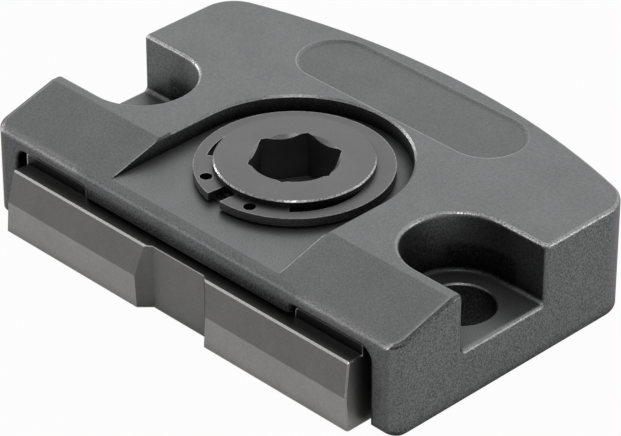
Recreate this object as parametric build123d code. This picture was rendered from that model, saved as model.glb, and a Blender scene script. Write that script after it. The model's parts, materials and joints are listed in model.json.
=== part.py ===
# Flat clamp (low-profile side clamp for machine tables).
#
# A forged body is bolted down through two open side slots. A hexagon key turns a
# vertical cam shaft, whose spiral flank pushes a wide jaw forward and slightly down
# against the workpiece. Two spring-loaded shoulder screws pull the jaw back.
#
# Millimetres. The origin is on the base plane, on the axis of the cam shaft, midway
# between the two bolt holes. +Z is up, -Y points at the workpiece, +X runs to the
# right along the body. Everything is drawn with the jaw drawn back.

from build123d import *
from math import atan2, cos, degrees, hypot, radians, sin, sqrt, tan
import os

os.makedirs("parts", exist_ok=True)

# Body
body_height = 25.0
front_reach = 30.4
rear_reach = 46.0
rear_arc_radius = 172.0
rear_corner_radius = 8.4
front_corner_radius = 3.6
crease_reach = 14.4
slope_angle = 15.5
rim_radius = 1.0
front_edge_radius = 2.3
base_chamfer = 0.25
toe_depth = 0.95
toe_height = 1.2
toe_corner_radius = 3.0

# Side slots and the holes for the hold-down bolts
bolt_pitch = 92.0
bolt_side_distance = 11.7
bolt_hole_diameter = 14.5
bolt_hole_chamfer = 0.3
slot_width = 23.5
slot_end_offset = 0.5
slot_floor = 11.5
slot_root_radius = 1.0

# Recess round the head of the cam shaft, open to the front
recess_gap = 3.6
recess_depth = 3.75
recess_chamfer = 0.45

# Shallow plain depression behind the recess
plate_recess_length = 59.8
plate_recess_width = 17.2
plate_recess_depth = 0.4
plate_recess_slope = 0.6
plate_recess_rear_wall = 4.0

# Jaw pocket
pocket_side_wall = 6.7
pocket_cam_gap = 2.4
front_band = 3.25
shoulder_step = 1.5
shoulder_inner_x = 29.7
pocket_corner_radius = 2.5
step_corner_radius = 1.0
mouth_land = 0.2

# Jaw movement: forward and down along inclined guides
jaw_stroke = 4.0
cam_turn = 150.0
slide_angle = 3.0

# Jaw
jaw_side_gap = 1.3
jaw_side_draft = 1.3
jaw_stand_off = 4.3
jaw_bottom = 0.3
jaw_top_gap = 0.9
jaw_middle_setback = 2.5
jaw_crease_height = 7.4
jaw_lean = 1.5
jaw_edge_chamfer = 0.35
pad_inner_x = 9.8
pad_inner_draft = 1.0
middle_half_width = 7.4
shoulder_setback = 1.0
shoulder_side_gap = 0.5
shoulder_bottom = 2.4
jaw_back_gap = 0.2
roof_gap = 0.1

# Cam shaft
head_diameter = 33.0
head_drop = 0.1
head_chamfer = 0.3
socket_across_flats = 17.0
socket_depth = 10.2
socket_chamfer = 0.75
ring_groove_depth = 1.0
cam_step = 2.1
cam_overrun = 6.0
cam_return_turn = 32.0
cam_nose_radius = 1.5
cam_flank_steps = 16
cam_gap = 0.03
chamber_gap = 1.2
chamber_roof_drop = 0.7
cam_axial_gap = 0.1
foot_diameter = 18.0

# Retaining ring with inverted lugs, and the shim under it
ring_width = 5.0
ring_thickness = 1.75
ring_groove_play = 0.05
ring_gap_angle = -96.5
ring_gap_width = 3.8
lug_hole_diameter = 2.6
lug_hole_inset = 2.15
lug_hole_angle = 23.0
lug_end_angle = 48.5
relief_end_angle = 132.0
relief_depth = 2.5
relief_share = 0.645
shim_thickness = 0.3
shim_width = 2.46
seat_gap = 0.02

# Plain bearings
running_gap = 0.04
upper_bush_wall = 2.0
lower_bush_wall = 1.8
guide_bush_wall = 1.0
guide_bush_length = 8.0

# Bottom cover, its screws and the stop pin
cover_flange = 8.0
cover_thickness = 3.0
cover_gap = 0.1
cover_recess = 0.1
cover_screw_inset = 3.0
cover_screw_angles = (58.0, 122.0, 215.0, 325.0)
cover_screw_diameter = 4.0
cover_screw_head_diameter = 7.6
cover_screw_length = 10.0
cover_screw_socket = 2.5
cover_screw_sink = 0.1
stop_pin_diameter = 5.0
stop_pin_wall = 0.86
stop_pin_height = 2.6
stop_play_angle = 2.0

# Thrust pad on the back of the jaw
thrust_pad_width = 20.0
thrust_pad_bottom = 4.0
thrust_pad_top_gap = 1.3
thrust_pad_inset = 1.4
pad_screw_pitch = 12.0
pad_screw_diameter = 3.0
pad_screw_head_diameter = 5.6
pad_screw_length = 8.0
pad_screw_socket = 2.0
pad_screw_sink = 0.4

# Guide pins
guide_pin_side_wall = 5.4
guide_pin_height = 6.0
guide_pin_diameter = 6.0
guide_pin_grip = 8.0
guide_pin_reach = 11.0
guide_bore_extra = 1.0

# Shoulder screws and return springs
pull_screw_x = 29.5
pull_screw_height = 7.6
shoulder_diameter = 6.5
pull_end_gap = 1.6
pull_thread_diameter = 5.0
pull_thread_length = 7.0
pull_head_diameter = 10.0
pull_head_length = 4.5
pull_socket_size = 3.0
pull_seat_depth = 1.0
spring_space = 18.0
spring_wire = 1.2
spring_outer_diameter = 9.8
spring_turns = 6.0
spring_bore_diameter = 11.0

# Plugs that close the spring bores at the rear
plug_diameter = 12.0
plug_length = 3.0
plug_socket_size = 5.0
plug_recess = 0.3

# Small edge breaks, and how far a cutting shape reaches past what it cuts
pin_chamfer = 0.5
plug_chamfer = 0.4
overshoot = 5.0
small = 0.01
tangent_slack = 0.002

# Depth of a small hexagon socket as a share of its head
socket_share = 0.65

# Worked out from the sizes above: body, slots and depression
body_width = bolt_pitch + 2 * bolt_side_distance
half_width = body_width / 2
rear_corner_y = rear_reach - rear_arc_radius + sqrt(rear_arc_radius**2 - half_width**2)
slope_drop = (front_reach - crease_reach) * tan(radians(slope_angle))
front_edge_height = body_height - slope_drop
front_edge_tangent = front_edge_radius * tan(radians((90 - slope_angle) / 2))
bolt_x = bolt_pitch / 2
slot_end_x = bolt_x - slot_end_offset
plate_recess_y = rear_reach - plate_recess_rear_wall - plate_recess_width / 2

# Worked out: shaft, ring, cam and chamber
recess_floor = body_height - recess_depth
head_top = body_height - head_drop
head_bore_radius = head_diameter / 2 + running_gap
upper_bush_radius = head_diameter / 2 + upper_bush_wall
ring_groove_diameter = head_diameter - 2 * ring_groove_depth
ring_outer_diameter = ring_groove_diameter + 2 * ring_width
recess_radius = ring_outer_diameter / 2 + recess_gap
shim_top = recess_floor + seat_gap + shim_thickness
ring_bottom = shim_top + ring_groove_play
ring_top = ring_bottom + ring_thickness
groove_bottom = ring_bottom - ring_groove_play / 2
groove_top = ring_top + ring_groove_play / 2
cam_base = head_diameter / 2 + cam_step
cam_rate = jaw_stroke * cos(radians(slide_angle)) / radians(cam_turn)
cam_reach = hypot(cam_base + cam_rate * radians(cam_turn + cam_overrun), cam_rate)
chamber_radius = cam_reach + chamber_gap
foot_bore_radius = foot_diameter / 2 + running_gap
lower_bush_radius = foot_bore_radius + lower_bush_wall
cover_top = cover_recess + cover_thickness
cover_radius = chamber_radius + cover_flange
cover_screw_circle = chamber_radius + cover_screw_inset
cam_bottom = cover_top + 2 * cam_axial_gap
foot_bottom = cover_recess + cam_axial_gap
stop_pin_circle = lower_bush_radius + stop_pin_diameter / 2 + stop_pin_wall

# Worked out: jaw pocket and jaw, the roofs where they meet the front face
shoulder_roof = front_edge_height - front_band
pocket_roof = shoulder_roof - shoulder_step
mouth_radius = front_band - front_edge_tangent - mouth_land
chamber_roof = pocket_roof - chamber_roof_drop
cam_top = chamber_roof - cam_axial_gap
pocket_width = body_width - 2 * pocket_side_wall
pocket_wall_reach = cam_base + pocket_cam_gap
jaw_width = pocket_width - 2 * jaw_side_gap
jaw_top_width = jaw_width - 2 * jaw_side_draft
jaw_front_reach = front_reach + jaw_stand_off
jaw_top = pocket_roof - jaw_top_gap
jaw_back = pocket_wall_reach + jaw_back_gap
shoulder_front_reach = front_reach - shoulder_setback
thrust_pad_top = jaw_top - thrust_pad_top_gap
slide_back = Vector(0, cos(radians(slide_angle)), sin(radians(slide_angle)))

# Worked out: guides, pull screws and plugs, as distances along the guides from the back of the jaw
guide_bush_diameter = guide_pin_diameter + 2 * guide_bush_wall
guide_pin_x = jaw_top_width / 2 - guide_pin_side_wall - guide_pin_diameter / 2
plug_face_y = rear_reach - rear_arc_radius + sqrt(rear_arc_radius**2 - pull_screw_x**2)
plug_face_slack = plug_diameter / 2 * (pull_screw_x / rear_arc_radius + slide_back.Z)
plug_face_distance = (plug_face_y + jaw_back - plug_face_slack) / slide_back.Y
plug_seat_distance = plug_face_distance - plug_length - plug_recess
pull_head_distance = plug_seat_distance - pull_end_gap - pull_head_length
shoulder_length = pull_head_distance + pull_seat_depth
spring_seat_distance = pull_head_distance - spring_space

# How a solid sits on its own origin
standing = (Align.CENTER, Align.CENTER, Align.MIN)
hanging = (Align.CENTER, Align.CENTER, Align.MAX)


def save(shape, name):
    """Write one piece to its own file."""
    shape.label = name
    export_step(shape, f"parts/{name}.step")


def upright(radius, bottom, top, x=0.0, y=0.0):
    """A vertical cylinder between two heights."""
    return Pos(x, y, bottom) * Cylinder(radius, top - bottom, align=standing)


def sleeve(inner, outer, bottom, top):
    """An upright tube between two heights."""
    return upright(outer, bottom, top) - upright(inner, bottom - overshoot, top + overshoot)


def slide_plane(x, height, distance=0.0):
    """A plane square to the guides, at a distance behind the back of the jaw."""
    start = Vector(x, -jaw_back, height)
    return Plane(origin=start + slide_back * distance, x_dir=(1, 0, 0), z_dir=slide_back)


def rod(x, height, start, length, diameter):
    """A cylinder along the guides, from start rearwards, measured from the back of the jaw."""
    disc = slide_plane(x, height, start) * Circle(diameter / 2)
    return extrude(disc, amount=length)


def along_slide(outline, rear_y, length):
    """An upright outline at the front face, carried along the guides to rear_y and forward by length."""
    shift = slide_back * ((rear_y + front_reach) / slide_back.Y)
    plane = Plane(origin=(0, shift.Y - front_reach, shift.Z), x_dir=(1, 0, 0), z_dir=(0, -1, 0))
    return extrude(plane * outline, amount=length / slide_back.Y, dir=slide_back * -1)


def hexagon(across_flats):
    """A regular hexagon with two corners on the X axis."""
    return RegularPolygon(across_flats / 2, 6, major_radius=False)


def countersunk_screw(thread_diameter, head_diameter, length, socket_size):
    """A countersunk socket screw, head top at z = 0, thread down."""
    head_height = (head_diameter - thread_diameter) / 2
    outline = Polyline(
        (0, 0),
        (head_diameter / 2, 0),
        (thread_diameter / 2, -head_height),
        (thread_diameter / 2, -length),
        (0, -length),
        close=True,
    )
    screw = revolve(make_face(Plane.XZ * outline), Axis.Z)
    depth = head_height * socket_share
    return screw - Pos(0, 0, -depth) * extrude(hexagon(socket_size), amount=depth)


def countersunk_hole(thread_diameter, head_diameter, length, gap):
    """The space that a countersunk screw needs, head top at z = 0."""
    head_height = (head_diameter - thread_diameter) / 2
    outline = Polyline(
        (0, overshoot),
        (head_diameter / 2 + gap, overshoot),
        (head_diameter / 2 + gap, 0),
        (thread_diameter / 2 + gap, -head_height),
        (thread_diameter / 2 + gap, -length - gap),
        (0, -length - gap),
        close=True,
    )
    return revolve(make_face(Plane.XZ * outline), Axis.Z)


def body_outline():
    """Plan of the body: straight front and sides, gently curved rear."""
    rear = ThreePointArc((half_width, rear_corner_y), (0, rear_reach), (-half_width, rear_corner_y))
    front = Polyline(
        (-half_width, rear_corner_y),
        (-half_width, -front_reach),
        (half_width, -front_reach),
        (half_width, rear_corner_y),
    )
    plan = make_face([rear, front])
    plan = fillet(plan.vertices().group_by(Axis.Y)[-1], rear_corner_radius)
    return fillet(plan.vertices().group_by(Axis.Y)[0], front_corner_radius)


def slope_cut():
    """The wedge above the sloping front of the body."""
    reach = front_reach + overshoot
    drop = slope_drop + overshoot * tan(radians(slope_angle))
    outline = Polyline(
        (-crease_reach, body_height),
        (-crease_reach, body_height + overshoot),
        (-reach, body_height + overshoot),
        (-reach, body_height - drop),
        close=True,
    )
    middle = Plane(origin=(0, 0, 0), x_dir=(0, 1, 0), z_dir=(1, 0, 0))
    return extrude(middle * make_face(outline), amount=half_width + overshoot, both=True)


def front_edge_cut():
    """The space outside the larger rounding of the long front edge."""
    inset = front_edge_radius - tangent_slack
    slope = radians(slope_angle)
    centre = Vector(inset - front_reach, front_edge_height + inset * tan(slope) - inset / cos(slope))
    up = Vector(-sin(slope), cos(slope)) * (2 * front_edge_radius)
    out = Vector(-2 * front_edge_radius, 0)
    tip = (up + out) / (1 + sin(slope))
    kite = Polyline(centre, centre + up, centre + tip, centre + out, close=True)
    middle = Plane(origin=(0, 0, 0), x_dir=(0, 1, 0), z_dir=(1, 0, 0))
    profile = make_face(kite) - Pos(centre.X, centre.Y) * Circle(front_edge_radius)
    return extrude(middle * profile, amount=half_width + overshoot, both=True)


def toe_section(steps):
    """Plan inside the toe, this many toe heights above the base."""
    reach = front_reach + (steps - 1) * toe_depth
    radius = front_corner_radius + (steps - 1) * (front_corner_radius - toe_corner_radius)
    width = 2 * (half_width + small)
    plan = Rectangle(width, reach, align=(Align.CENTER, Align.MAX))
    plan = fillet(plan.vertices().group_by(Axis.Y)[0], radius)
    return Plane.XY.offset(steps * toe_height) * plan


def toe_cut():
    """The space in front of the receding toe of both lugs."""
    space = Box(
        2 * half_width + 2 * overshoot,
        2 * overshoot + front_corner_radius,
        3 * toe_height,
        align=(Align.CENTER, Align.MIN, Align.MIN),
    )
    space = Pos(0, -front_reach - overshoot, -toe_height) * space
    return space - loft([toe_section(-1), toe_section(2)], ruled=True)


def side_slot(side):
    """An open slot with a round inner end, above its floor."""
    reach = half_width + overshoot
    plan = Pos(side * slot_end_x, 0) * Circle(slot_width / 2)
    plan += Pos(side * (slot_end_x + reach) / 2, 0) * Rectangle(reach - slot_end_x, slot_width)
    slot = extrude(Plane.XY.offset(slot_floor) * plan, amount=body_height)
    return fillet(slot.edges().group_by(Axis.Z)[0], slot_root_radius)


def bolt_hole(side):
    """A through hole in the slot floor, broken at both ends."""
    radius = bolt_hole_diameter / 2
    x = side * bolt_x
    hole = upright(radius, -overshoot, slot_floor + overshoot, x)
    flare = Cone(radius, radius + bolt_hole_chamfer, bolt_hole_chamfer, align=hanging)
    hole += Pos(x, 0, slot_floor) * flare
    hole += Pos(x, 0, 0) * Rot(180, 0, 0) * flare
    return hole


def head_recess():
    """Round recess for the head of the cam shaft, running out straight to the front, its top edge broken."""
    plan = Circle(recess_radius)
    plan += Pos(0, -front_reach) * Rectangle(2 * recess_radius, 2 * front_reach)
    recess = extrude(Plane.XY.offset(recess_floor) * plan, amount=body_height)
    edge = Plane.XY.offset(body_height - recess_chamfer) * plan
    return recess + extrude(edge, amount=2 * recess_chamfer, taper=-45)


def plain_depression():
    """A shallow rounded depression in the top with a sloping wall."""
    length = plate_recess_length - plate_recess_width
    floor_width = plate_recess_width - 2 * plate_recess_slope
    floor_plane = Plane.XY.offset(body_height - plate_recess_depth)
    rim_plane = Plane.XY.offset(body_height)
    place = Pos(0, plate_recess_y)
    floor = floor_plane * place * SlotCenterToCenter(length, floor_width)
    rim = rim_plane * place * SlotCenterToCenter(length, plate_recess_width)
    return loft([floor, rim])


def pocket():
    """The space for the jaw: open to the front and below, its roof parallel to the guides."""
    wall = pocket_width / 2
    outline = Polyline(
        (-wall, -overshoot),
        (-wall, shoulder_roof),
        (-shoulder_inner_x, shoulder_roof),
        (-shoulder_inner_x, pocket_roof),
        (shoulder_inner_x, pocket_roof),
        (shoulder_inner_x, shoulder_roof),
        (wall, shoulder_roof),
        (wall, -overshoot),
        close=True,
    )
    face = make_face(outline)
    outer_corners = [v for v in face.vertices() if abs(v.X) > wall - small and v.Y > 0]
    face = fillet(outer_corners, pocket_corner_radius)
    face = fillet(step_corners(face, shoulder_inner_x, shoulder_roof), step_corner_radius)
    return along_slide(face, -pocket_wall_reach, front_reach - pocket_wall_reach + overshoot)


def step_corners(face, x, height):
    """The upper corners of an outline beside the step between the two roofs."""
    return [v for v in face.vertices() if abs(abs(v.X) - x) < small and abs(v.Y - height) < small]


def cover_screw_place(angle):
    """Where a cover screw sits: head down in the cover, thread up in the body."""
    x = cover_screw_circle * cos(radians(angle))
    y = cover_screw_circle * sin(radians(angle))
    return Pos(x, y, cover_recess + cover_screw_sink) * Rot(180, 0, 0)


def body():
    """The forged body, with every bore that the mechanism needs."""
    block = extrude(body_outline(), amount=body_height) - slope_cut()
    for side in (-1, 1):
        block -= side_slot(side)
    lowest_rim = body_height - slope_drop - rim_radius
    upper = [e for e in block.edges() if e.center().Z > lowest_rim]
    rim = [e for e in upper if abs(e.center().Y + crease_reach) > small]
    outer = [e for e in block.edges().filter_by(Axis.Z) if abs(e.center().X) > half_width - small]
    rim += [e for e in outer if e.center().Z > slot_floor]
    block = fillet(rim, rim_radius)
    base = block.faces().sort_by(Axis.Z)[0].outer_wire().edges()
    block = chamfer(base, base_chamfer)

    block -= front_edge_cut()
    block -= pocket()
    block = round_mouth(block)
    block -= toe_cut()
    block -= head_recess()
    block -= plain_depression()
    for side in (-1, 1):
        block -= bolt_hole(side)

    block -= upright(chamber_radius, -overshoot, chamber_roof)
    block -= upright(cover_radius + cover_gap, -overshoot, cover_top)
    block -= upright(upper_bush_radius, chamber_roof - overshoot, body_height)
    for angle in cover_screw_angles:
        block -= cover_screw_place(angle) * countersunk_hole(
            cover_screw_diameter, cover_screw_head_diameter, cover_screw_length, 0.0
        )
    for side in (-1, 1):
        x = side * guide_pin_x
        block -= rod(x, guide_pin_height, 0, guide_pin_reach + guide_bore_extra, guide_bush_diameter)
        x = side * pull_screw_x
        bore = shoulder_diameter + 2 * running_gap
        block -= rod(x, pull_screw_height, -overshoot, spring_seat_distance + 2 * overshoot, bore)
        block -= rod(x, pull_screw_height, spring_seat_distance, body_width, spring_bore_diameter)
        block -= rod(x, pull_screw_height, plug_seat_distance, body_width, plug_diameter)
    return block


def round_mouth(block):
    """Round the front edges of the jaw pocket, all but the lip between the shoulders."""
    front = [e for e in block.edges() if abs(e.center().Y + front_reach) < small]
    low = [e for e in front if e.center().Z < shoulder_roof + small]
    beside = [e for e in low if abs(e.center().X) > shoulder_inner_x - small]
    mouth = [e for e in beside if abs(e.center().X) < pocket_width / 2 + small]
    return fillet(mouth, mouth_radius)


def jaw():
    """The wide jaw: two drafted pads in front, taller shoulders at the back."""
    bottom_half = jaw_width / 2
    top_half = jaw_top_width / 2
    outline = Polyline(
        (-jaw_back, jaw_bottom),
        (-jaw_back, jaw_top),
        (-jaw_front_reach + jaw_lean, jaw_top),
        (-jaw_front_reach, jaw_crease_height),
        (-jaw_front_reach, jaw_bottom),
        close=True,
    )
    middle = Plane(origin=(0, 0, 0), x_dir=(0, 1, 0), z_dir=(1, 0, 0))
    plate = extrude(middle * make_face(outline), amount=bottom_half, both=True)
    depth = 4 * jaw_front_reach
    plate &= loft(
        [
            Plane.XY.offset(jaw_bottom) * Rectangle(jaw_width, depth),
            Plane.XY.offset(jaw_top) * Rectangle(jaw_top_width, depth),
        ]
    )
    top = plate.edges().filter_by(lambda e: abs(e.center().Z - jaw_top) < small)
    worn = top.filter_by(lambda e: e.center().Y < -jaw_back - small)
    front = plate.edges().filter_by(lambda e: e.center().Y < jaw_lean - jaw_front_reach)
    worn += front.filter_by(lambda e: abs(e.center().X) > top_half)
    plate = chamfer(worn, jaw_edge_chamfer)
    plate -= loft(
        [
            middle_gap(jaw_bottom - small, pad_inner_x),
            middle_gap(jaw_top + small, pad_inner_x + pad_inner_draft),
        ]
    )

    roof = shoulder_roof - roof_gap / slide_back.Y
    for side in (-1, 1):
        inner = side * (shoulder_inner_x + shoulder_side_gap)
        outer = side * top_half
        shoulder = make_face(
            Polyline(
                (inner, shoulder_bottom),
                (inner, roof),
                (outer, roof),
                (outer, shoulder_bottom),
                close=True,
            )
        )
        shoulder = fillet(step_corners(shoulder, abs(inner), roof), step_corner_radius)
        plate += along_slide(shoulder, -jaw_back, shoulder_front_reach - jaw_back)

    plate -= thrust_pad_block(jaw_back - overshoot, jaw_back + thrust_pad_inset)
    for side in (-1, 1):
        plate -= pad_screw_place(side) * countersunk_hole(
            pad_screw_diameter, pad_screw_head_diameter, pad_screw_length, 0.0
        )
        x = side * guide_pin_x
        plate -= rod(x, guide_pin_height, -guide_pin_grip, guide_pin_grip + overshoot, guide_pin_diameter)
        x = side * pull_screw_x
        plate -= rod(x, pull_screw_height, -pull_seat_depth, overshoot, shoulder_diameter)
        thread_end = -pull_seat_depth - pull_thread_length
        plate -= rod(x, pull_screw_height, thread_end, pull_thread_length, pull_thread_diameter)
    return plate


def middle_gap(height, near):
    """Plan of the gap between the pads at one height."""
    middle_reach = jaw_front_reach - jaw_middle_setback
    outline = Polyline(
        (-near, -jaw_front_reach),
        (-near - overshoot, -jaw_front_reach - overshoot),
        (near + overshoot, -jaw_front_reach - overshoot),
        (near, -jaw_front_reach),
        (middle_half_width, -middle_reach),
        (-middle_half_width, -middle_reach),
        close=True,
    )
    return Plane.XY.offset(height) * make_face(outline)


def thrust_pad_block(near, far):
    """The thrust pad's outline as a block between two distances in front of the shaft axis."""
    height = thrust_pad_top - thrust_pad_bottom
    block = Box(thrust_pad_width, far - near, height, align=(Align.CENTER, Align.MAX, Align.MIN))
    return Pos(0, -near, thrust_pad_bottom) * block


def pad_screw_place(side):
    """Where a thrust pad screw sits: head towards the cam, thread forward in the jaw."""
    height = (thrust_pad_bottom + thrust_pad_top) / 2
    face = cam_base + cam_gap + pad_screw_sink
    return Pos(side * pad_screw_pitch / 2, -face, height) * Rot(-90, 0, 0)


def thrust_pad():
    """Hardened pad let into the back of the jaw; its rear face meets the cam."""
    pad = thrust_pad_block(cam_base + cam_gap, jaw_back + thrust_pad_inset)
    for side in (-1, 1):
        pad -= pad_screw_place(side) * countersunk_hole(
            pad_screw_diameter, pad_screw_head_diameter, pad_screw_length, running_gap
        )
    return pad


def thrust_pad_screws():
    """The two screws of the thrust pad."""
    screw = countersunk_screw(
        pad_screw_diameter, pad_screw_head_diameter, pad_screw_length, pad_screw_socket
    )
    return Compound(children=[pad_screw_place(side) * screw for side in (-1, 1)])


def cam_point(turn):
    """A point of the spiral flank that a flat pad touches after this many degrees of turn."""
    direction = radians(turn - 90)
    reach = cam_base + cam_rate * radians(turn)
    x = reach * cos(direction) - cam_rate * sin(direction)
    y = reach * sin(direction) + cam_rate * cos(direction)
    return (x, y)


def cam_outline():
    """Spiral flank that grows evenly with the turn, then falls back to the base circle."""
    span = cam_turn + 2 * cam_overrun
    turns = [span * i / cam_flank_steps - cam_overrun for i in range(cam_flank_steps + 1)]
    points = [cam_point(turn) for turn in turns]
    flank = Spline(*points)
    start = points[0]
    end = points[-1]
    start_angle = degrees(atan2(start[1], start[0]))
    end_angle = degrees(atan2(end[1], end[0])) + cam_return_turn
    back = CenterArc((0, 0), hypot(*start), end_angle, (start_angle - end_angle) % 360)
    face = make_face([flank, Line(end, back @ 0), back])
    nose = [v for v in face.vertices() if hypot(v.X - end[0], v.Y - end[1]) < small]
    return fillet(nose, cam_nose_radius)


def cam_shaft():
    """Head with hexagon socket, ring groove, spiral cam and foot journal, in one piece."""
    shaft = upright(head_diameter / 2, cam_top, head_top)
    shaft = chamfer(shaft.edges().group_by(Axis.Z)[-1], head_chamfer)
    shaft -= upright(head_diameter, groove_bottom, groove_top) - upright(
        ring_groove_diameter / 2, groove_bottom, groove_top
    )
    shaft += extrude(Plane.XY.offset(cam_bottom) * cam_outline(), amount=cam_top - cam_bottom)
    shaft += upright(foot_diameter / 2, foot_bottom, cam_bottom)
    socket_plane = Plane.XY.offset(head_top - socket_depth)
    socket = extrude(socket_plane * hexagon(socket_across_flats), amount=socket_depth)
    socket_radius = socket_across_flats / 2
    mouth = Cone(socket_radius, socket_radius + socket_chamfer, socket_chamfer, align=hanging)
    shaft -= socket + Pos(0, 0, head_top) * mouth

    first = 90 - stop_play_angle
    track = CenterArc((0, 0), stop_pin_circle, first, cam_turn + 2 * stop_play_angle)
    width = stop_pin_diameter + 2 * running_gap
    depth = stop_pin_height + 2 * cam_axial_gap - (cam_bottom - cover_top)
    return shaft - extrude(Plane.XY.offset(cam_bottom) * SlotArc(track, width), amount=depth)


def polar(radius, angle):
    """A point given by its radius and its angle in degrees."""
    return (radius * cos(radians(angle)), radius * sin(radians(angle)))


def retaining_ring():
    """Open ring with inverted lugs, relieved beside the lugs, seated in the shaft's groove."""
    inner = ring_groove_diameter / 2 + ring_groove_play
    ring = Circle(ring_outer_diameter / 2) - Circle(inner)
    inside = inner - relief_depth
    middle_angle = (lug_end_angle + relief_end_angle) / 2
    for side in (-1, 1):
        start = ring_gap_angle + side * lug_end_angle
        middle = ring_gap_angle + side * middle_angle
        end = ring_gap_angle + side * relief_end_angle
        step = Line(polar(inside, start), polar(inner + relief_depth, start))
        waist = polar(inner + relief_depth * relief_share, middle)
        relief = ThreePointArc(step @ 1, waist, polar(inner, end))
        back = ThreePointArc(polar(inner, end), polar(inside, middle), polar(inside, start))
        ring -= make_face([step, relief, back])
        hole = polar(ring_outer_diameter / 2 - lug_hole_inset, ring_gap_angle + side * lug_hole_angle)
        ring -= Pos(*hole) * Circle(lug_hole_diameter / 2)
    gap = Pos(ring_outer_diameter / 2, 0) * Rectangle(ring_outer_diameter, ring_gap_width)
    ring -= Rot(0, 0, ring_gap_angle) * gap
    return extrude(Plane.XY.offset(ring_bottom) * ring, amount=ring_thickness)


def bottom_cover():
    """Round plate under the cam chamber, cut straight where the jaw pocket begins."""
    plate = upright(cover_radius, cover_recess, cover_top)
    front = Box(2 * cover_radius, cover_radius, body_height, align=(Align.CENTER, Align.MAX, Align.MIN))
    plate -= Pos(0, cover_gap - pocket_wall_reach, 0) * front
    plate -= upright(lower_bush_radius, -overshoot, cover_top + overshoot)
    for angle in cover_screw_angles:
        plate -= cover_screw_place(angle) * countersunk_hole(
            cover_screw_diameter, cover_screw_head_diameter, cover_screw_length, running_gap
        )
    return plate - upright(stop_pin_diameter / 2, -overshoot, cover_top + overshoot, 0, stop_pin_circle)


def cover_screws():
    """The countersunk screws of the bottom cover."""
    screw = countersunk_screw(
        cover_screw_diameter, cover_screw_head_diameter, cover_screw_length, cover_screw_socket
    )
    return Compound(children=[cover_screw_place(angle) * screw for angle in cover_screw_angles])


def guide_pin(side):
    """A pin pressed into the jaw that slides in its sleeve in the body."""
    length = guide_pin_grip + guide_pin_reach
    pin = rod(side * guide_pin_x, guide_pin_height, -guide_pin_grip, length, guide_pin_diameter)
    return chamfer(pin.edges().filter_by(GeomType.CIRCLE), pin_chamfer)


def guide_bush(side):
    """The sleeve of a guide pin, pressed into the body behind the jaw pocket."""
    x = side * guide_pin_x
    start = jaw_back_gap + cover_gap
    inner = guide_pin_diameter + 2 * running_gap
    bush = rod(x, guide_pin_height, start, guide_bush_length, guide_bush_diameter)
    return bush - rod(x, guide_pin_height, 0, guide_bush_length + overshoot, inner)


def pull_screw(side):
    """A shoulder screw: thread in the jaw, long shoulder through the body, head behind."""
    x = side * pull_screw_x
    start = -pull_seat_depth
    screw = rod(x, pull_screw_height, start - pull_thread_length, pull_thread_length, pull_thread_diameter)
    screw += rod(x, pull_screw_height, start, shoulder_length, shoulder_diameter)
    screw += rod(x, pull_screw_height, pull_head_distance, pull_head_length, pull_head_diameter)
    depth = pull_head_length * socket_share
    socket_plane = slide_plane(x, pull_screw_height, pull_head_distance + pull_head_length - depth)
    return screw - extrude(socket_plane * hexagon(pull_socket_size), amount=depth)


def return_spring(side):
    """A compression spring between the body and the head of a shoulder screw."""
    wire = spring_wire / 2
    start = spring_seat_distance + wire + seat_gap
    length = spring_space - spring_wire - 2 * seat_gap
    radius = spring_outer_diameter / 2 - wire
    path = Helix(pitch=length / spring_turns, height=length, radius=radius)
    section = Plane(origin=path @ 0, z_dir=path % 0) * Circle(wire)
    coil = sweep(section, path=path, is_frenet=True)
    return slide_plane(side * pull_screw_x, pull_screw_height, start).location * coil


def rear_plug(side):
    """A round plug with a hexagon socket that closes a spring bore."""
    x = side * pull_screw_x
    start = plug_seat_distance
    plug = rod(x, pull_screw_height, start + seat_gap, plug_length - seat_gap, plug_diameter)
    rear_edge = plug.edges().filter_by(GeomType.CIRCLE).sort_by(Axis.Y)[-1]
    plug = chamfer(rear_edge, plug_chamfer)
    depth = plug_length * socket_share
    socket_plane = slide_plane(x, pull_screw_height, start + plug_length - depth)
    return plug - extrude(socket_plane * hexagon(plug_socket_size), amount=depth)


save(body(), "body")
save(jaw(), "jaw")
save(thrust_pad(), "thrust_pad")
save(thrust_pad_screws(), "thrust_pad_screws")
save(cam_shaft(), "cam_shaft")
save(retaining_ring(), "retaining_ring")
shim_radius = head_bore_radius + shim_width
save(sleeve(head_bore_radius, shim_radius, recess_floor + seat_gap, shim_top), "ring_shim")
save(sleeve(head_bore_radius, upper_bush_radius, chamber_roof, recess_floor), "upper_bush")
save(sleeve(foot_bore_radius, lower_bush_radius, cover_recess, cover_top), "lower_bush")
save(bottom_cover(), "bottom_cover")
save(cover_screws(), "cover_screws")
stop_pin_top = cover_top + stop_pin_height
save(upright(stop_pin_diameter / 2, cover_recess, stop_pin_top, 0, stop_pin_circle), "stop_pin")
for side, hand in ((-1, "left"), (1, "right")):
    save(guide_pin(side), f"guide_pin_{hand}")
    save(guide_bush(side), f"guide_bush_{hand}")
    save(pull_screw(side), f"pull_screw_{hand}")
    save(return_spring(side), f"return_spring_{hand}")
    save(rear_plug(side), f"rear_plug_{hand}")
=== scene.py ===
import json
from collections import namedtuple
from collections.abc import Callable
from dataclasses import dataclass
from math import cos, radians, sin

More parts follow.
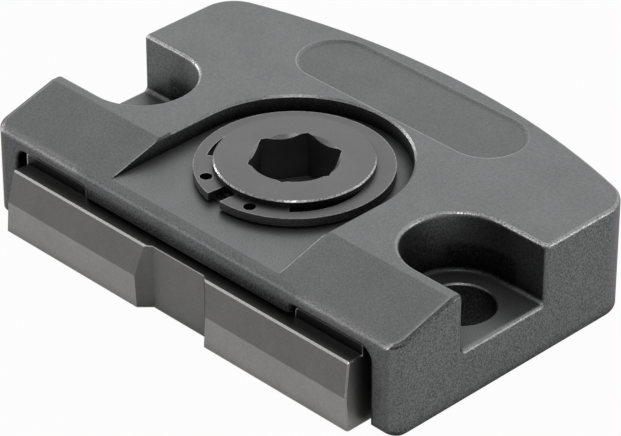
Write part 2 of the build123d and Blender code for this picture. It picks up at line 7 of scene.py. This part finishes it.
import bpy
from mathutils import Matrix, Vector


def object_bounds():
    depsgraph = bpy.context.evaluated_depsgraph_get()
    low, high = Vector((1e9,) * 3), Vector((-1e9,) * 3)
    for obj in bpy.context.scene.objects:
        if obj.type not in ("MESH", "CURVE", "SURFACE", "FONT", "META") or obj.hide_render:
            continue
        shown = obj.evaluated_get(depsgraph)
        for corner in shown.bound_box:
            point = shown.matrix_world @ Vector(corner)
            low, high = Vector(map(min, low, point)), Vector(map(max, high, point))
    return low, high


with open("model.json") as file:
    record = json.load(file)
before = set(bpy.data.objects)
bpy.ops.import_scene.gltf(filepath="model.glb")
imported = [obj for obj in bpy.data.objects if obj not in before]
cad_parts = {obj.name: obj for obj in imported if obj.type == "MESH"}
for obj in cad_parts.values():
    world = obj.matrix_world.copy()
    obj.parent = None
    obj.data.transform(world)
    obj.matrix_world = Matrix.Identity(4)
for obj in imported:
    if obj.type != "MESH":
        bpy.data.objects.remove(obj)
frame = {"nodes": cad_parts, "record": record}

CAD_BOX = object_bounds()
LOW, HIGH = (Vector(corner) for corner in CAD_BOX)
HEIGHT = HIGH.z - LOW.z

# Camera: the place, direction and lens that the photograph was taken with
CAMERA_TARGET = Vector((0.0045, 0.0, 0.5 * HEIGHT))
CAMERA_DISTANCE = 0.74418
CAMERA_AZIMUTH = 45.36
CAMERA_ELEVATION = 32.664
CAMERA_ROLL = 0.087
CAMERA_LENS = 213.99
CAMERA_NEAR = 0.01
SENSOR_WIDTH = 36.0

# Grain of the surfaces: size in metres, octaves, and how much the finer octaves weigh
Grain = namedtuple("Grain", "size detail roughness")
CAST_GRAIN = Grain(0.00036, 3.0, 0.65)
FINE_GRAIN = Grain(0.0002, 2.0, 0.6)
MOTTLE = Grain(0.009, 4.0, 0.6)
SPECK_GRAIN = Grain(0.0004, 3.0, 0.7)
TOOL_MARK = Grain(0.00012, 2.0, 0.5)

# Grinding marks are drawn out along the length of the jaw
GRINDING_STRETCH = (0.02, 1.0, 1.0)

# How far worn edges with painted highlights, and painted shade, reach from an edge, a gap or a hollow, in
# metres
BEVEL_REACH = 0.0015
SHARP_REACH = 0.0005
GAP_REACH = 0.0042
HOLLOW_REACH = 0.014

# Pairs: from here to the ranges of noise, something starts at the first number and is full at the second.
# Open share of the surroundings of an edge, a gap or a hollow
BEVEL_THIN = (0.96, 0.9)
SHARP_THIN = (0.78, 0.6)
GAP_OPEN = (0.3, 0.9)
HOLLOW_OPEN = (0.45, 0.95)

# How much a face looks up
STEEP = (0.93, 0.6)
UPRIGHT = (0.6, 0.2)
LEVEL = (0.9, 0.99)
FULLY_LEVEL = (0.985, 0.995)
OFF_UPRIGHT = (0.25, 0.5)
OFF_LEVEL = (0.985, 0.95)
EDGE_UP = (0.3, 0.9)
LUG_OFF_UPRIGHT = (0.1, 0.35)
LUG_OFF_LEVEL = (0.99, 0.97)
JAW_UP = (0.5, 0.9)
HEAD_UP = (0.2, 0.6)

# How much a face looks back, which is negative where it looks forward
FORWARD = (-0.3, -0.75)
RIM_FORWARD = (-0.05, -0.45)
BAND_FORWARD = (-0.3, -0.7)
LUG_FORWARD = (-0.8, -0.95)
STEP_FORWARD = (-0.5, -0.9)
CONTACT_FORWARD = (-0.5, -0.98)

# How much a face looks sideways
LUG_SIDEWAYS = (0.1, 0.2)
JAW_SIDEWAYS = (0.4, 0.8)

# Heights, in metres
TOP = (HEIGHT - 0.0003, HEIGHT - 0.0001)
UNDER_TOP = (HEIGHT - 0.0001, HEIGHT - 0.0003)
DEPRESSION_FOOT = (HEIGHT - 0.0006, HEIGHT - 0.0005)
RECESS_FOOT = (HEIGHT - 0.00425, HEIGHT - 0.00375)
FRONT_EDGE = (HEIGHT - 0.0058, HEIGHT - 0.0080)
SLOT_RISE = (HEIGHT - 0.0130, HEIGHT - 0.0110)
JAW_TOP = (HEIGHT - 0.0113, HEIGHT - 0.0105)

# Distances from the middle plane between left and right, in metres
RECESS_SIDE = (0.0265, 0.0260)
SLOT_SIDE = (0.030, 0.034)
POCKET_SIDE = (HIGH.x - 0.0068, HIGH.x - 0.0088)
JAW_FLANK = (0.02, 0.04)

# Places between front and back, in metres
RECESS_BACK = (-0.004, 0.008)
LUG_START = (-0.0108, -0.0118)
LUG_FRONT = (-0.0118, -0.0218)
CONTACT = (LOW.y + 0.0001, LOW.y + 0.00001)
GAP = (LOW.y + 0.0008, LOW.y + 0.0040)
GAP_STEP = (LOW.y + 0.0040, LOW.y + 0.0048)
JAW_EDGE = (LOW.y + 0.0050, LOW.y + 0.0047)

# Distance from the axis of the shaft, between its socket and its outer edge, in metres
HEAD_EDGE = (0.0125, 0.0135)

# Ranges of noise
GRAIN_RANGE = (0.3, 0.7)
ROUGH_RANGE = (0.25, 0.75)
SPECK_RANGE = (0.35, 0.6)
WEAR_AND_GLINT_SOFTNESS = 0.24

# Floor of the depression: heights that it lies between, and how much its faces look up at least
DEPRESSION_LIMITS = (HEIGHT - 0.0006, HEIGHT - 0.0002)
FLAT = 0.999

# Rim of the depression: width of its slope, and half the width of the painted highlight line outside it, in
# metres
RIM_SLOPE = 0.0006
RIM_LINE = 0.00014
RIM_NEAR = (RIM_LINE, 0.3 * RIM_LINE)

# What that painted highlight line adds to the tone, and its strength from rear to front
RIM_GAIN = 0.85
RIM_STRENGTH = (0.35, 1.0)

# Tones of places, as shares of the grey of their metal: painted shade on the front band, the lug fronts, the
# jaw's gap and step and the head's wall, painted shade and light on the jaw's flanks and ends, and the own
# tones of the depression and the ground contact faces
MOTTLE_TONE = (0.96, 1.04)
DEPRESSION_TONE = 0.83
PAINTED_BAND_SHADE = 0.3
PAINTED_LUG_FRONT_SHADE = 0.8
CONTACT_TONE = 1.75
PAINTED_GAP_SHADE = 0.55
PAINTED_GAP_STEP_SHADE = 0.25
JAW_SIDE_SHADE_AND_LIGHT = (0.62, 1.8)
PAINTED_HEAD_WALL_SHADE = 0.3

# How much of an edge is worn and given a painted highlight, from the least to the most
RIM_WEAR_AND_HIGHLIGHT = (0.3, 1.0)
RECESS_RIM_WEAR_AND_HIGHLIGHT = (0.1, 0.35)
LUG_RIM_WEAR_AND_HIGHLIGHT = 0.1
JAW_EDGE_WEAR_AND_HIGHLIGHT = (0.2, 0.8)
JAW_FRONT_WEAR_AND_HIGHLIGHT = (0.3, 1.0)
HEAD_EDGE_WEAR_AND_HIGHLIGHT = (0.12, 0.9)

# Grain left on faces that look forward, the least darkness of the specks of painted shade, and painted shade
# left on level faces
FORWARD_GRAIN = 0.45
SPECK_STRENGTH = 0.35
LEVEL_SHADE = 0.4

# Warmth and polish of worn spots, which are also painted highlights, spread of roughness with the grain, and
# what hollows add on level faces
WORN_AND_GLINT_WARMTH = 0.01
WORN_POLISH = 0.1
ROUGH_SPREAD = 0.05
HOLLOW_ROUGHNESS = 0.3

# Relief of cast grain on level faces, of fine grain, and of tool marks
LEVEL_RELIEF = 0.3
FINE_RELIEF = 0.3
MARK_RELIEF = 0.5

# Floor: sizes in metres, and what the camera and the metal see of it
FLOOR_SIZE = 6.0
FLOOR_DROP = 0.00002
FLOOR_GREY = (0.8, 0.8, 0.8, 1.0)
SEEN_WHITE = 0.96
SEEN_BY_METAL = 0.2

# World: its light, and how much the metal sees of it at the rear and at the front
WHITE = (1.0, 1.0, 1.0, 1.0)
WORLD_LIGHT = 0.4
WORLD_DIM = 0.45
WORLD_REAR = (-0.1, 0.6)
WORLD_FRONT = (0.1, 0.7)

# Lamps: discs that face the origin, with angles in degrees, sizes in metres and power in watts
Lamp = namedtuple("Lamp", "name azimuth elevation distance size power")
LAMPS = (
    Lamp("front left", -43.0, 22.0, 1.0, 0.40, 0.5),
    Lamp("high left", -72.0, 48.0, 1.0, 0.30, 0.12),
    Lamp("rear right", 128.0, 12.0, 1.0, 0.25, 1.2),
    Lamp("low left", -86.0, 17.0, 1.0, 0.30, 0.95),
    Lamp("overhead", 44.0, 58.0, 1.1, 0.35, 1.2),
)


def direction(azimuth, elevation):
    """Unit vector from the object towards a viewer or a lamp."""
    a = radians(azimuth)
    e = radians(elevation)
    return Vector((sin(a) * cos(e), -cos(a) * cos(e), sin(e)))


def make_camera():
    data = bpy.data.cameras.new("camera")
    data.lens = CAMERA_LENS
    data.sensor_width = SENSOR_WIDTH
    data.clip_start = CAMERA_NEAR
    camera = bpy.data.objects.new("camera", data)
    bpy.context.scene.collection.objects.link(camera)
    back = direction(CAMERA_AZIMUTH, CAMERA_ELEVATION)
    camera.location = CAMERA_TARGET + back * CAMERA_DISTANCE
    camera.rotation_euler = back.to_track_quat("Z", "Y").to_euler()
    camera.rotation_euler.rotate_axis("Z", radians(CAMERA_ROLL))
    bpy.context.scene.camera = camera


class Nodes:
    """Adds shader nodes to a tree and links them."""

    def __init__(self, tree):
        self.tree = tree
        tree.nodes.clear()

    def add(self, kind, *inputs, **settings):
        node = self.tree.nodes.new(kind)
        for key, value in settings.items():
            if key in node.bl_rna.properties:
                setattr(node, key, value)
            else:
                self.feed(node.inputs[key.replace("_", " ")], value)
        for socket, value in zip(node.inputs, inputs):
            self.feed(socket, value)
        return node

    def feed(self, socket, value):
        if isinstance(value, bpy.types.NodeSocket):
            self.tree.links.new(value, socket)
        elif isinstance(value, bpy.types.Node):
            self.tree.links.new(value.outputs[0], socket)
        else:
            socket.default_value = value

    def math(self, operation, a, b=0.0):
        return self.add("ShaderNodeMath", a, b, operation=operation).outputs[0]

    def times(self, product, *others):
        for other in others:
            product = self.math("MULTIPLY", product, other)
        return product

    def plus(self, a, b):
        return self.math("ADD", a, b)

    def minus(self, a, b):
        return self.math("SUBTRACT", a, b)

    def greater(self, a, b):
        return self.math("MAXIMUM", a, b)

    def absolute(self, value):
        return self.math("ABSOLUTE", value)

    def ramp(self, value, pair, result=(0.0, 1.0)):
        """Smooth step from the first result to the second, while the value crosses the pair."""
        node = self.add("ShaderNodeMapRange", value, *pair, *result, interpolation_type="SMOOTHSTEP")
        return node.outputs[0]

    def fade(self, share, level):
        """One where the share is zero, and this level where it is one."""
        return self.ramp(share, (0.0, 1.0), (1.0, level))

    def mix(self, factor, a, b):
        node = self.add("ShaderNodeMix", factor, data_type="RGBA")
        colours = [socket for socket in node.inputs if socket.type == "RGBA"]
        self.feed(colours[0], a)
        self.feed(colours[1], b)
        return next(socket for socket in node.outputs if socket.type == "RGBA")

    def noise(self, vector, grain):
        node = self.add("ShaderNodeTexNoise", Vector=vector, Scale=1.0 / grain.size,
                        Detail=grain.detail, Roughness=grain.roughness)
        return node.outputs["Fac"]

    def vector_math(self, operation, *inputs, **settings):
        return self.add("ShaderNodeVectorMath", *inputs, operation=operation, **settings)

    def split(self, vector):
        return self.add("ShaderNodeSeparateXYZ", vector).outputs


class Surface(Nodes):
    """Nodes of a metal, which know where a point is on its piece and which way its face looks.

    Side, back and height are places in metres. Sideways, backward and upward are shares of the direction.
    """

    def __init__(self, tree):
        super().__init__(tree)
        coordinates = self.add("ShaderNodeTexCoord")
        self.where = coordinates.outputs["Object"]
        place = self.split(self.where)
        normal = self.split(coordinates.outputs["Normal"])
        self.side = self.absolute(place["X"])
        self.back = place["Y"]
        self.height = place["Z"]
        self.sideways = self.absolute(normal["X"])
        self.backward = normal["Y"]
        self.upward = normal["Z"]

    def axis_distance(self):
        """Distance from the axis of the shaft."""
        flat = self.vector_math("MULTIPLY", self.where, (1.0, 1.0, 0.0))
        return self.vector_math("LENGTH", flat).outputs["Value"]

    def openness(self, reach, pair, darkest, local):
        """How light a point in a gap or hollow stays, from how much of its surroundings is near."""
        near = self.add("ShaderNodeAmbientOcclusion", samples=8, only_local=local, Distance=reach)
        return self.ramp(near.outputs["AO"], pair, (darkest, 1.0))

    def thinness(self, reach, pair):
        """How near a point is to an edge, from how soon rays into the metal leave it again."""
        near = self.add("ShaderNodeAmbientOcclusion", samples=16, inside=True, Distance=reach)
        return self.ramp(near.outputs["AO"], pair)

    def speckle(self):
        return self.noise(self.where, SPECK_GRAIN)


def grey(level, warmth):
    """A linear grey as a colour, a little warmer or cooler."""
    return (level * (1 + warmth), level, level * (1 - warmth), 1.0)


def lug_rim(s):
    """Where the outer rim of a front lug is, on the side of the body."""
    tilt = s.times(s.ramp(s.upward, LUG_OFF_UPRIGHT), s.ramp(s.upward, LUG_OFF_LEVEL))
    return s.times(tilt, s.ramp(s.sideways, LUG_SIDEWAYS), s.ramp(s.back, LUG_START))


def rim_wear_and_highlight(s):
    """Worn metal and a painted highlight on rims: the rear rims of the bolt slots, which look forward, are
    brightest, and low rims and the lugs' outer rims least.
    """
    # Rims that look forward get the strongest painted highlight
    forward = s.ramp(s.backward, RIM_FORWARD, RIM_WEAR_AND_HIGHLIGHT)
    recess_rim = s.ramp(s.back, RECESS_BACK, RECESS_RIM_WEAR_AND_HIGHLIGHT)
    slot_rim = s.ramp(s.side, SLOT_SIDE, (recess_rim, 1.0))
    high = s.ramp(s.height, SLOT_RISE, RIM_WEAR_AND_HIGHLIGHT)
    return s.times(forward, slot_rim, high, s.fade(lug_rim(s), LUG_RIM_WEAR_AND_HIGHLIGHT))


def depression():
    """Middle, half length and radius of the shallow depression, from its level floor just under the top."""
    mesh = frame["nodes"]["body"].data
    lowest, highest = DEPRESSION_LIMITS
    floor = set()
    for face in mesh.polygons:
        if face.normal.z > FLAT and lowest < face.center.z < highest:
            floor.update(face.vertices)
    xs = [mesh.vertices[i].co.x for i in floor]
    ys = [mesh.vertices[i].co.y for i in floor]
    radius = 0.5 * (max(ys) - min(ys))
    return 0.5 * (max(ys) + min(ys)), 0.5 * (max(xs) - min(xs)) - radius, radius


def depression_rim_highlight(s):
    """A painted highlight: a thin light line on the top along the rim of the depression, strongest at the
    front.
    """
    middle, half_length, radius = depression()
    along = s.greater(s.minus(s.side, half_length), 0.0)
    behind = s.minus(s.back, middle)
    from_core = s.math("SQRT", s.plus(s.times(along, along), s.times(behind, behind)))
    from_rim = s.absolute(s.minus(from_core, radius + RIM_SLOPE + RIM_LINE))
    front = s.ramp(behind, (0.5 * radius, -0.5 * radius), RIM_STRENGTH)
    return s.times(s.ramp(from_rim, RIM_NEAR), s.ramp(s.height, TOP), front)


def depression_tone(s):
    """The floor of the depression is darker than the top, and its rim carries a painted highlight."""
    sunk = s.times(s.ramp(s.height, UNDER_TOP), s.ramp(s.height, DEPRESSION_FOOT))
    floor = s.times(sunk, s.ramp(s.upward, FULLY_LEVEL))
    # The rim line is a painted highlight added to the tone
    return s.plus(s.fade(floor, DEPRESSION_TONE), s.times(depression_rim_highlight(s), RIM_GAIN))


def recess_wall_painted_light(s):
    """Painted light on the upright wall of the round recess and, as nothing limits it rearwards, on the top
    of the rear face.
    """
    inside = s.times(s.ramp(s.side, RECESS_SIDE), s.ramp(s.height, RECESS_FOOT))
    return s.times(inside, s.ramp(s.upward, UPRIGHT))


def front_painted_shade(s):
    """Painted shade: dark specks low on the long front edge and on the lugs' outer rims, and darker fronts of
    the lugs.
    """
    low = s.times(s.ramp(s.height, FRONT_EDGE), s.ramp(s.side, POCKET_SIDE))
    band = s.times(low, s.ramp(s.backward, BAND_FORWARD))
    specks = s.ramp(s.speckle(), SPECK_RANGE, (SPECK_STRENGTH, 1.0))
    # Painted shade, in specks, on the low front band and on the lugs' outer rims
    dark = s.times(s.greater(band, lug_rim(s)), specks)
    lug_front = s.times(s.ramp(s.backward, LUG_FORWARD), s.ramp(s.back, LUG_FRONT))
    return s.times(s.fade(dark, PAINTED_BAND_SHADE), s.fade(lug_front, PAINTED_LUG_FRONT_SHADE))


def body_tone(s):
    """Tone of the body: its depression with a painted highlight on its rim, painted light on the wall of its
    recess and the top of its rear, and painted shade on its front.
    """
    # Painted light is added on the recess wall, and painted shade laid on the front
    return s.times(s.plus(depression_tone(s), recess_wall_painted_light(s)), front_painted_shade(s))


def contact_tone(s):
    """The faces of the jaw that meet the workpiece are ground bright."""
    contact = s.times(s.ramp(s.back, CONTACT), s.backward)
    return s.ramp(contact, CONTACT_FORWARD, (1.0, CONTACT_TONE))


def gap_painted_shade(s):
    """Painted shade: the top of the jaw and its upper step are darkened, as they lie in the gap under the
    body.
    """
    on_top = s.times(s.ramp(s.back, GAP), s.ramp(s.upward, JAW_UP))
    on_step = s.times(s.ramp(s.back, GAP_STEP), s.ramp(s.backward, STEP_FORWARD))
    # Painted shade on the jaw's top and step in the gap
    return s.math("MINIMUM", s.fade(on_top, PAINTED_GAP_SHADE), s.fade(on_step, PAINTED_GAP_STEP_SHADE))


def flank_shade_and_end_light(s):
    """Painted shade makes the flanks between the pads darker than the pads, and painted light makes the ends
    of the jaw lighter.
    """
    level = s.ramp(s.side, JAW_FLANK, JAW_SIDE_SHADE_AND_LIGHT)
    # Painted shade on the flanks and painted light on the ends
    return s.ramp(s.sideways, JAW_SIDEWAYS, (1.0, level))


def jaw_tone(s):
    """Tone of the jaw: its ground contact faces, painted shade on what lies in the gap, and painted shade and
    light on its flanks and ends.
    """
    return s.times(contact_tone(s), gap_painted_shade(s), flank_shade_and_end_light(s))


def jaw_edge_wear_and_highlight(s):
    """The sharp upper edge along the front of the jaw is worn and carries a painted highlight, and those
    behind it hardly.
    """
    return s.ramp(s.back, JAW_EDGE, JAW_EDGE_WEAR_AND_HIGHLIGHT)


def jaw_front_wear_and_highlight(s):
    """The front of the jaw is worn and carries a painted highlight along its top, and less along its upright
    edges.
    """
    return s.ramp(s.height, JAW_TOP, JAW_FRONT_WEAR_AND_HIGHLIGHT)


def head_edge_wear_and_highlight(s):
    """The outer edge of the shaft's head is worn bare and carries a painted highlight, and the mouth of its
    socket hardly.
    """
    return s.ramp(s.axis_distance(), HEAD_EDGE, HEAD_EDGE_WEAR_AND_HIGHLIGHT)


def head_wall_painted_shade(s):
    """Painted shade: the outer wall of the shaft's head, down in the groove around it, is darker than its
    face and socket.
    """
    outside = s.ramp(s.axis_distance(), HEAD_EDGE, (1.0, PAINTED_HEAD_WALL_SHADE))
    # Painted shade on the outer wall of the head
    return s.greater(s.ramp(s.upward, HEAD_UP), outside)


def turned(s):
    """Fine circular marks about the axis of the shaft."""
    rings = s.add("ShaderNodeCombineXYZ", s.axis_distance(), 0.0, 0.0)
    return s.times(s.noise(rings, TOOL_MARK), MARK_RELIEF)


def ground(s):
    """Straight grinding marks along the length of the jaw."""
    stretched = s.vector_math("MULTIPLY", s.where, GRINDING_STRETCH)
    return s.times(s.noise(stretched, TOOL_MARK), MARK_RELIEF)


@dataclass
class Finish:
    """Look of one metal.

    Level and warmth make its grey. Grit is the contrast of its grain, and rugged what steep faces have more.
    Relief is the depth of its bumps in metres. Each edge share, on bevels, sharp edges and upright edges, is
    how much of an edge is worn bare and given a painted highlight, or a function that gives it, and bare is
    the noise at which these spots begin. Gap and hollow are the light left deep inside them by their painted
    shade.
    Tone and marks add what only this metal has; on the body, the jaw and the shaft, tone also holds painted
    shade and painted light.
    """

    level: float
    warmth: float = 0.0
    roughness: float = 0.4
    relief: float = 0.00001
    grit: float = 0.1
    rugged: float = 0.0
    bevel_wear_and_highlight: float | Callable = 0.4
    sharp_wear_and_highlight: float | Callable = 0.3
    upright_wear_and_highlight: float | Callable = 0.3
    worn_and_highlight_level: float = 0.5
    bare: float = 0.36
    gap: float = 0.35
    hollow: float = 0.2
    tone: Callable | None = None
    marks: Callable | None = None


FINISHES = {
    "forged_body": Finish(
        level=0.21, warmth=-0.012, roughness=0.38, relief=0.00004, grit=0.18, rugged=0.34,
        bevel_wear_and_highlight=rim_wear_and_highlight, sharp_wear_and_highlight=1.0, upright_wear_and_highlight=0.1, worn_and_highlight_level=0.7, bare=0.32,
        gap=0.2, hollow=0.15, tone=body_tone,
    ),
    "ground_jaw": Finish(
        level=0.24, warmth=0.015, roughness=0.38, relief=0.000008,
        bevel_wear_and_highlight=0.85, sharp_wear_and_highlight=jaw_edge_wear_and_highlight, upright_wear_and_highlight=jaw_front_wear_and_highlight, worn_and_highlight_level=0.9, bare=0.15,
        gap=0.6, hollow=0.6, tone=jaw_tone, marks=ground,
    ),
    "shaft_steel": Finish(
        level=0.188, grit=0.08,
        bevel_wear_and_highlight=head_edge_wear_and_highlight, sharp_wear_and_highlight=0.5, upright_wear_and_highlight=0.1, worn_and_highlight_level=0.65,
        gap=0.6, hollow=0.9, tone=head_wall_painted_shade, marks=turned,
    ),
    "ring_steel": Finish(
        level=0.185, roughness=0.42, grit=0.09, rugged=0.25,
        bevel_wear_and_highlight=0.5, sharp_wear_and_highlight=0.7, worn_and_highlight_level=0.55,
    ),
    "shim_steel": Finish(level=0.25, roughness=0.3, relief=0.000006, grit=0.03),
    "hardened_steel": Finish(level=0.5, warmth=0.01, roughness=0.24, relief=0.000004, grit=0.03),
    "screw_steel": Finish(level=0.09),
    "spring_steel": Finish(level=0.3, roughness=0.3, relief=0.000006, grit=0.04),
    "plug_steel": Finish(level=0.11, roughness=0.42),
    "cover_steel": Finish(level=0.15, warmth=-0.01, roughness=0.42),
    "bronze": Finish(level=0.4, warmth=0.3, roughness=0.35, grit=0.05, worn_and_highlight_level=0.6),
}


def wear_and_highlight(s, finish):
    """Speckled bright metal over rounded and bevelled edges, and a thin line along sharp ones: worn bare
    metal that is also a painted highlight.
    """
    shares = (finish.bevel_wear_and_highlight, finish.sharp_wear_and_highlight, finish.upright_wear_and_highlight)
    on_bevels, on_sharp, on_upright = (share(s) if callable(share) else share for share in shares)
    tilt = s.times(s.ramp(s.upward, OFF_UPRIGHT), s.ramp(s.upward, OFF_LEVEL))
    bevel = s.times(s.thinness(BEVEL_REACH, BEVEL_THIN), tilt, on_bevels)
    amount = s.ramp(s.upward, EDGE_UP, (on_upright, on_sharp))
    sharp = s.times(s.thinness(SHARP_REACH, SHARP_THIN), amount)
    wear_and_glint_specks = s.ramp(s.speckle(), (finish.bare, finish.bare + WEAR_AND_GLINT_SOFTNESS))
    return s.times(s.greater(bevel, sharp), wear_and_glint_specks)


def metal(name, finish):
    """A blackened metal: mottled grey with grain, worn edges that are also painted highlights, and painted
    shade in gaps and hollows.
    """
    material = bpy.data.materials.new(name)
    material.use_nodes = True
    s = Surface(material.node_tree)
    steep = s.ramp(s.upward, STEEP)
    level_face = s.ramp(s.upward, LEVEL)
    coarse = s.noise(s.where, CAST_GRAIN)
    fine = s.noise(s.where, FINE_GRAIN)
    gap_light = s.openness(GAP_REACH, GAP_OPEN, finish.gap, local=False)
    hollow_light = s.openness(HOLLOW_REACH, HOLLOW_OPEN, finish.hollow, local=True)
    # Bright edges: worn bare metal that also serves as a painted highlight
    bright = wear_and_highlight(s, finish)

    rugged = s.times(steep, s.ramp(s.backward, FORWARD, (1.0, FORWARD_GRAIN)), finish.rugged)
    grain = s.times(s.ramp(coarse, GRAIN_RANGE, (-1.0, 1.0)), s.plus(rugged, finish.grit))
    tone = s.plus(s.ramp(s.noise(s.where, MOTTLE), GRAIN_RANGE, MOTTLE_TONE), grain)
    # Painted shade in gaps and hollows, from ambient occlusion, weaker on level faces
    shade = s.math("POWER", s.times(gap_light, hollow_light), s.fade(level_face, LEVEL_SHADE))
    tone = s.times(tone, shade)
    # Some metals add painted shade and painted light of places to their tone
    if finish.tone:
        tone = s.times(tone, finish.tone(s))
    unworn = s.vector_math("SCALE", grey(finish.level, finish.warmth)[:3], Scale=tone)
    # The edges take the light grey of worn metal, which also paints their highlight
    base = s.mix(bright, unworn, grey(finish.worn_and_highlight_level, WORN_AND_GLINT_WARMTH))

    rough = s.ramp(coarse, ROUGH_RANGE, (finish.roughness - ROUGH_SPREAD, finish.roughness + ROUGH_SPREAD))
    rough = s.minus(rough, s.times(bright, WORN_POLISH))
    dull = s.ramp(hollow_light, (1.0, finish.hollow), (0.0, HOLLOW_ROUGHNESS))
    rough = s.plus(rough, s.times(level_face, dull))

    height = s.plus(s.times(coarse, s.plus(steep, LEVEL_RELIEF)), s.times(fine, FINE_RELIEF))
    if finish.marks:
        height = s.plus(height, finish.marks(s))
    relief = s.add("ShaderNodeBump", Height=height, Strength=1.0, Distance=finish.relief)

    shader = s.add("ShaderNodeBsdfPrincipled", Metallic=1.0, Base_Color=base, Roughness=rough, Normal=relief)
    s.add("ShaderNodeOutputMaterial", shader)
    return material


def dress():
    """Give each node the metal of its slot in the record."""
    metals = {name: metal(name, finish) for name, finish in FINISHES.items()}
    slots = {part["node"]: part["material_slot"] for part in frame["record"]["subparts"]}
    for name, piece in frame["nodes"].items():
        piece.data.materials.clear()
        piece.data.materials.append(metals[slots[name]])


def seen_by_metal(n, path):
    """One for rays that have been mirrored or passed through, and zero for others."""
    return n.greater(path["Is Glossy Ray"], path["Is Transmission Ray"])


def floor_material():
    """Almost white to the camera, darker in the metal, and pale grey for light and shadow."""
    material = bpy.data.materials.new("floor")
    material.use_nodes = True
    n = Nodes(material.node_tree)
    path = n.add("ShaderNodeLightPath").outputs
    by_camera = n.times(path["Is Camera Ray"], SEEN_WHITE)
    by_metal = n.times(seen_by_metal(n, path), SEEN_BY_METAL)
    diffuse = n.add("ShaderNodeBsdfDiffuse", FLOOR_GREY)
    white = n.add("ShaderNodeEmission", WHITE, 1.0)
    blend = n.add("ShaderNodeMixShader", n.greater(by_camera, by_metal), diffuse, white)
    n.add("ShaderNodeOutputMaterial", blend)
    return material


def make_floor():
    """A pale floor just under the object, which keeps a soft shadow."""
    half = 0.5 * FLOOR_SIZE
    z = LOW.z - FLOOR_DROP
    corners = [(-half, -half, z), (half, -half, z), (half, half, z), (-half, half, z)]
    mesh = bpy.data.meshes.new("floor")
    mesh.from_pydata(corners, [], [(0, 1, 2, 3)])
    mesh.materials.append(floor_material())
    floor = bpy.data.objects.new("floor", mesh)
    bpy.context.scene.collection.objects.link(floor)


def make_world():
    """White to the camera and, from behind, to the metal; greyer in front of the object."""
    world = bpy.data.worlds.new("studio")
    bpy.context.scene.world = world
    world.use_nodes = True
    n = Nodes(world.node_tree)
    path = n.add("ShaderNodeLightPath").outputs
    way = n.add("ShaderNodeTexCoord").outputs["Generated"]
    viewer = tuple(direction(CAMERA_AZIMUTH, 0.0))
    ahead = n.vector_math("DOT_PRODUCT", way, viewer).outputs["Value"]
    mirrored = seen_by_metal(n, path)
    rear = n.ramp(n.split(way)["Y"], WORLD_REAR, (WORLD_DIM, 1.0))
    front = n.ramp(ahead, WORLD_FRONT, (1.0, WORLD_DIM))
    seen = n.greater(n.times(mirrored, rear, front), path["Is Camera Ray"])
    level = n.greater(seen, n.times(n.minus(1.0, mirrored), WORLD_LIGHT))
    n.add("ShaderNodeOutputWorld", n.add("ShaderNodeBackground", WHITE, level))


def make_lamps():
    for lamp in LAMPS:
        data = bpy.data.lights.new(lamp.name, "AREA")
        data.shape = "DISK"
        data.size = lamp.size
        data.energy = lamp.power
        piece = bpy.data.objects.new(lamp.name, data)
        back = direction(lamp.azimuth, lamp.elevation)
        piece.location = back * lamp.distance
        piece.rotation_euler = back.to_track_quat("Z", "Y").to_euler()
        bpy.context.scene.collection.objects.link(piece)


make_camera()
dress()
make_floor()
make_world()
make_lamps()
bpy.context.scene.view_settings.view_transform = "Standard"
